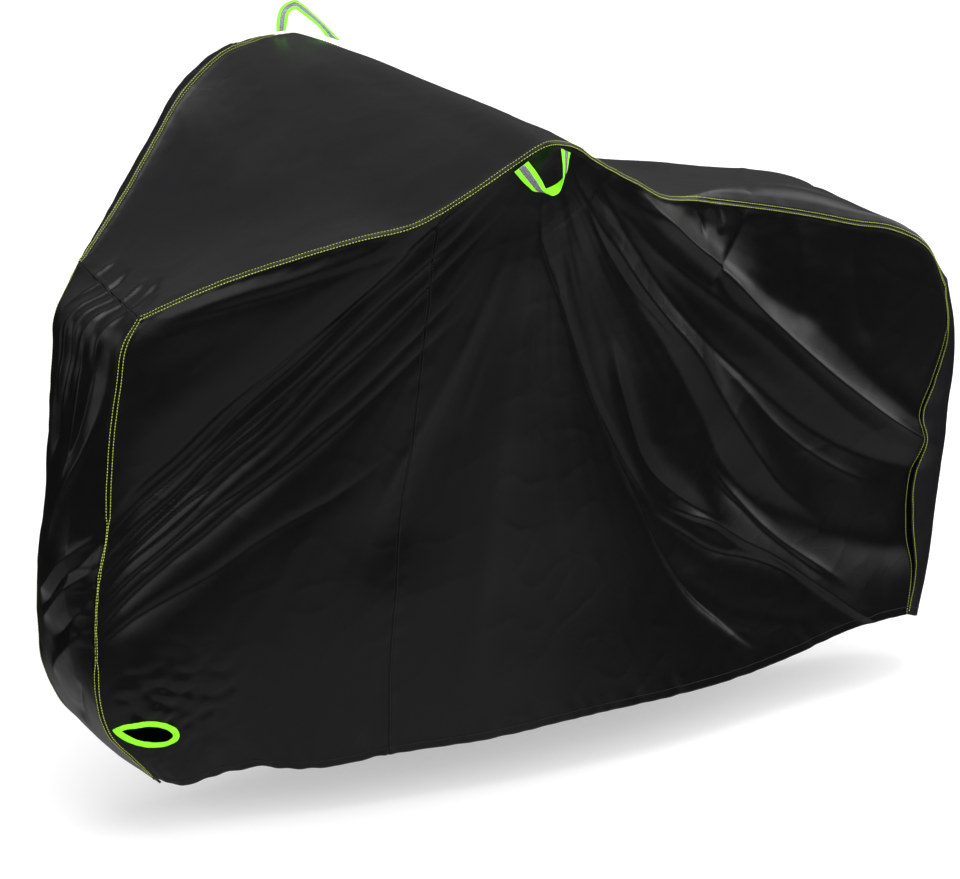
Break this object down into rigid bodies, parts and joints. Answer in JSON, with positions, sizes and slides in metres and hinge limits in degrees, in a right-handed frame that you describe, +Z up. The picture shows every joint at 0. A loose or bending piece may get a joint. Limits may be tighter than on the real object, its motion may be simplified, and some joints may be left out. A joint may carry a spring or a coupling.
{
  "type": "bicycle cover",
  "caption": "Fitted cover of black coated cloth draped as over an upright bicycle, hollow and open below, with lime seams, bound lock openings and webbing loops.",
  "frame": {"origin": "just under the top at the middle of the ridge, where the handlebar holds the cover", "axes": "+Z up, +X towards the rear of the bicycle, +Y towards its far side"},
  "size_m": [1.8952, 0.8685, 1.2403],
  "materials": {
    "coated_cloth": "black plain-woven polyester with a smooth water-proof coating, softly glossy, lime topstitching at the seams",
    "lime_binding": "lime fold-over binding tape, matt",
    "lime_webbing": "lime webbing with a grey reflective strip along its outer face"
  },
  "bodies": {
    "root": {"front_panel": "coated_cloth", "top_panel": "coated_cloth", "side_near_front": "coated_cloth", "side_near_rear": "coated_cloth", "side_far_front": "coated_cloth", "side_far_rear": "coated_cloth", "lock_binding_near": "lime_binding", "lock_binding_far": "lime_binding", "loop_near": "lime_webbing", "loop_far": "lime_webbing"}
  },
  "joints": []
}
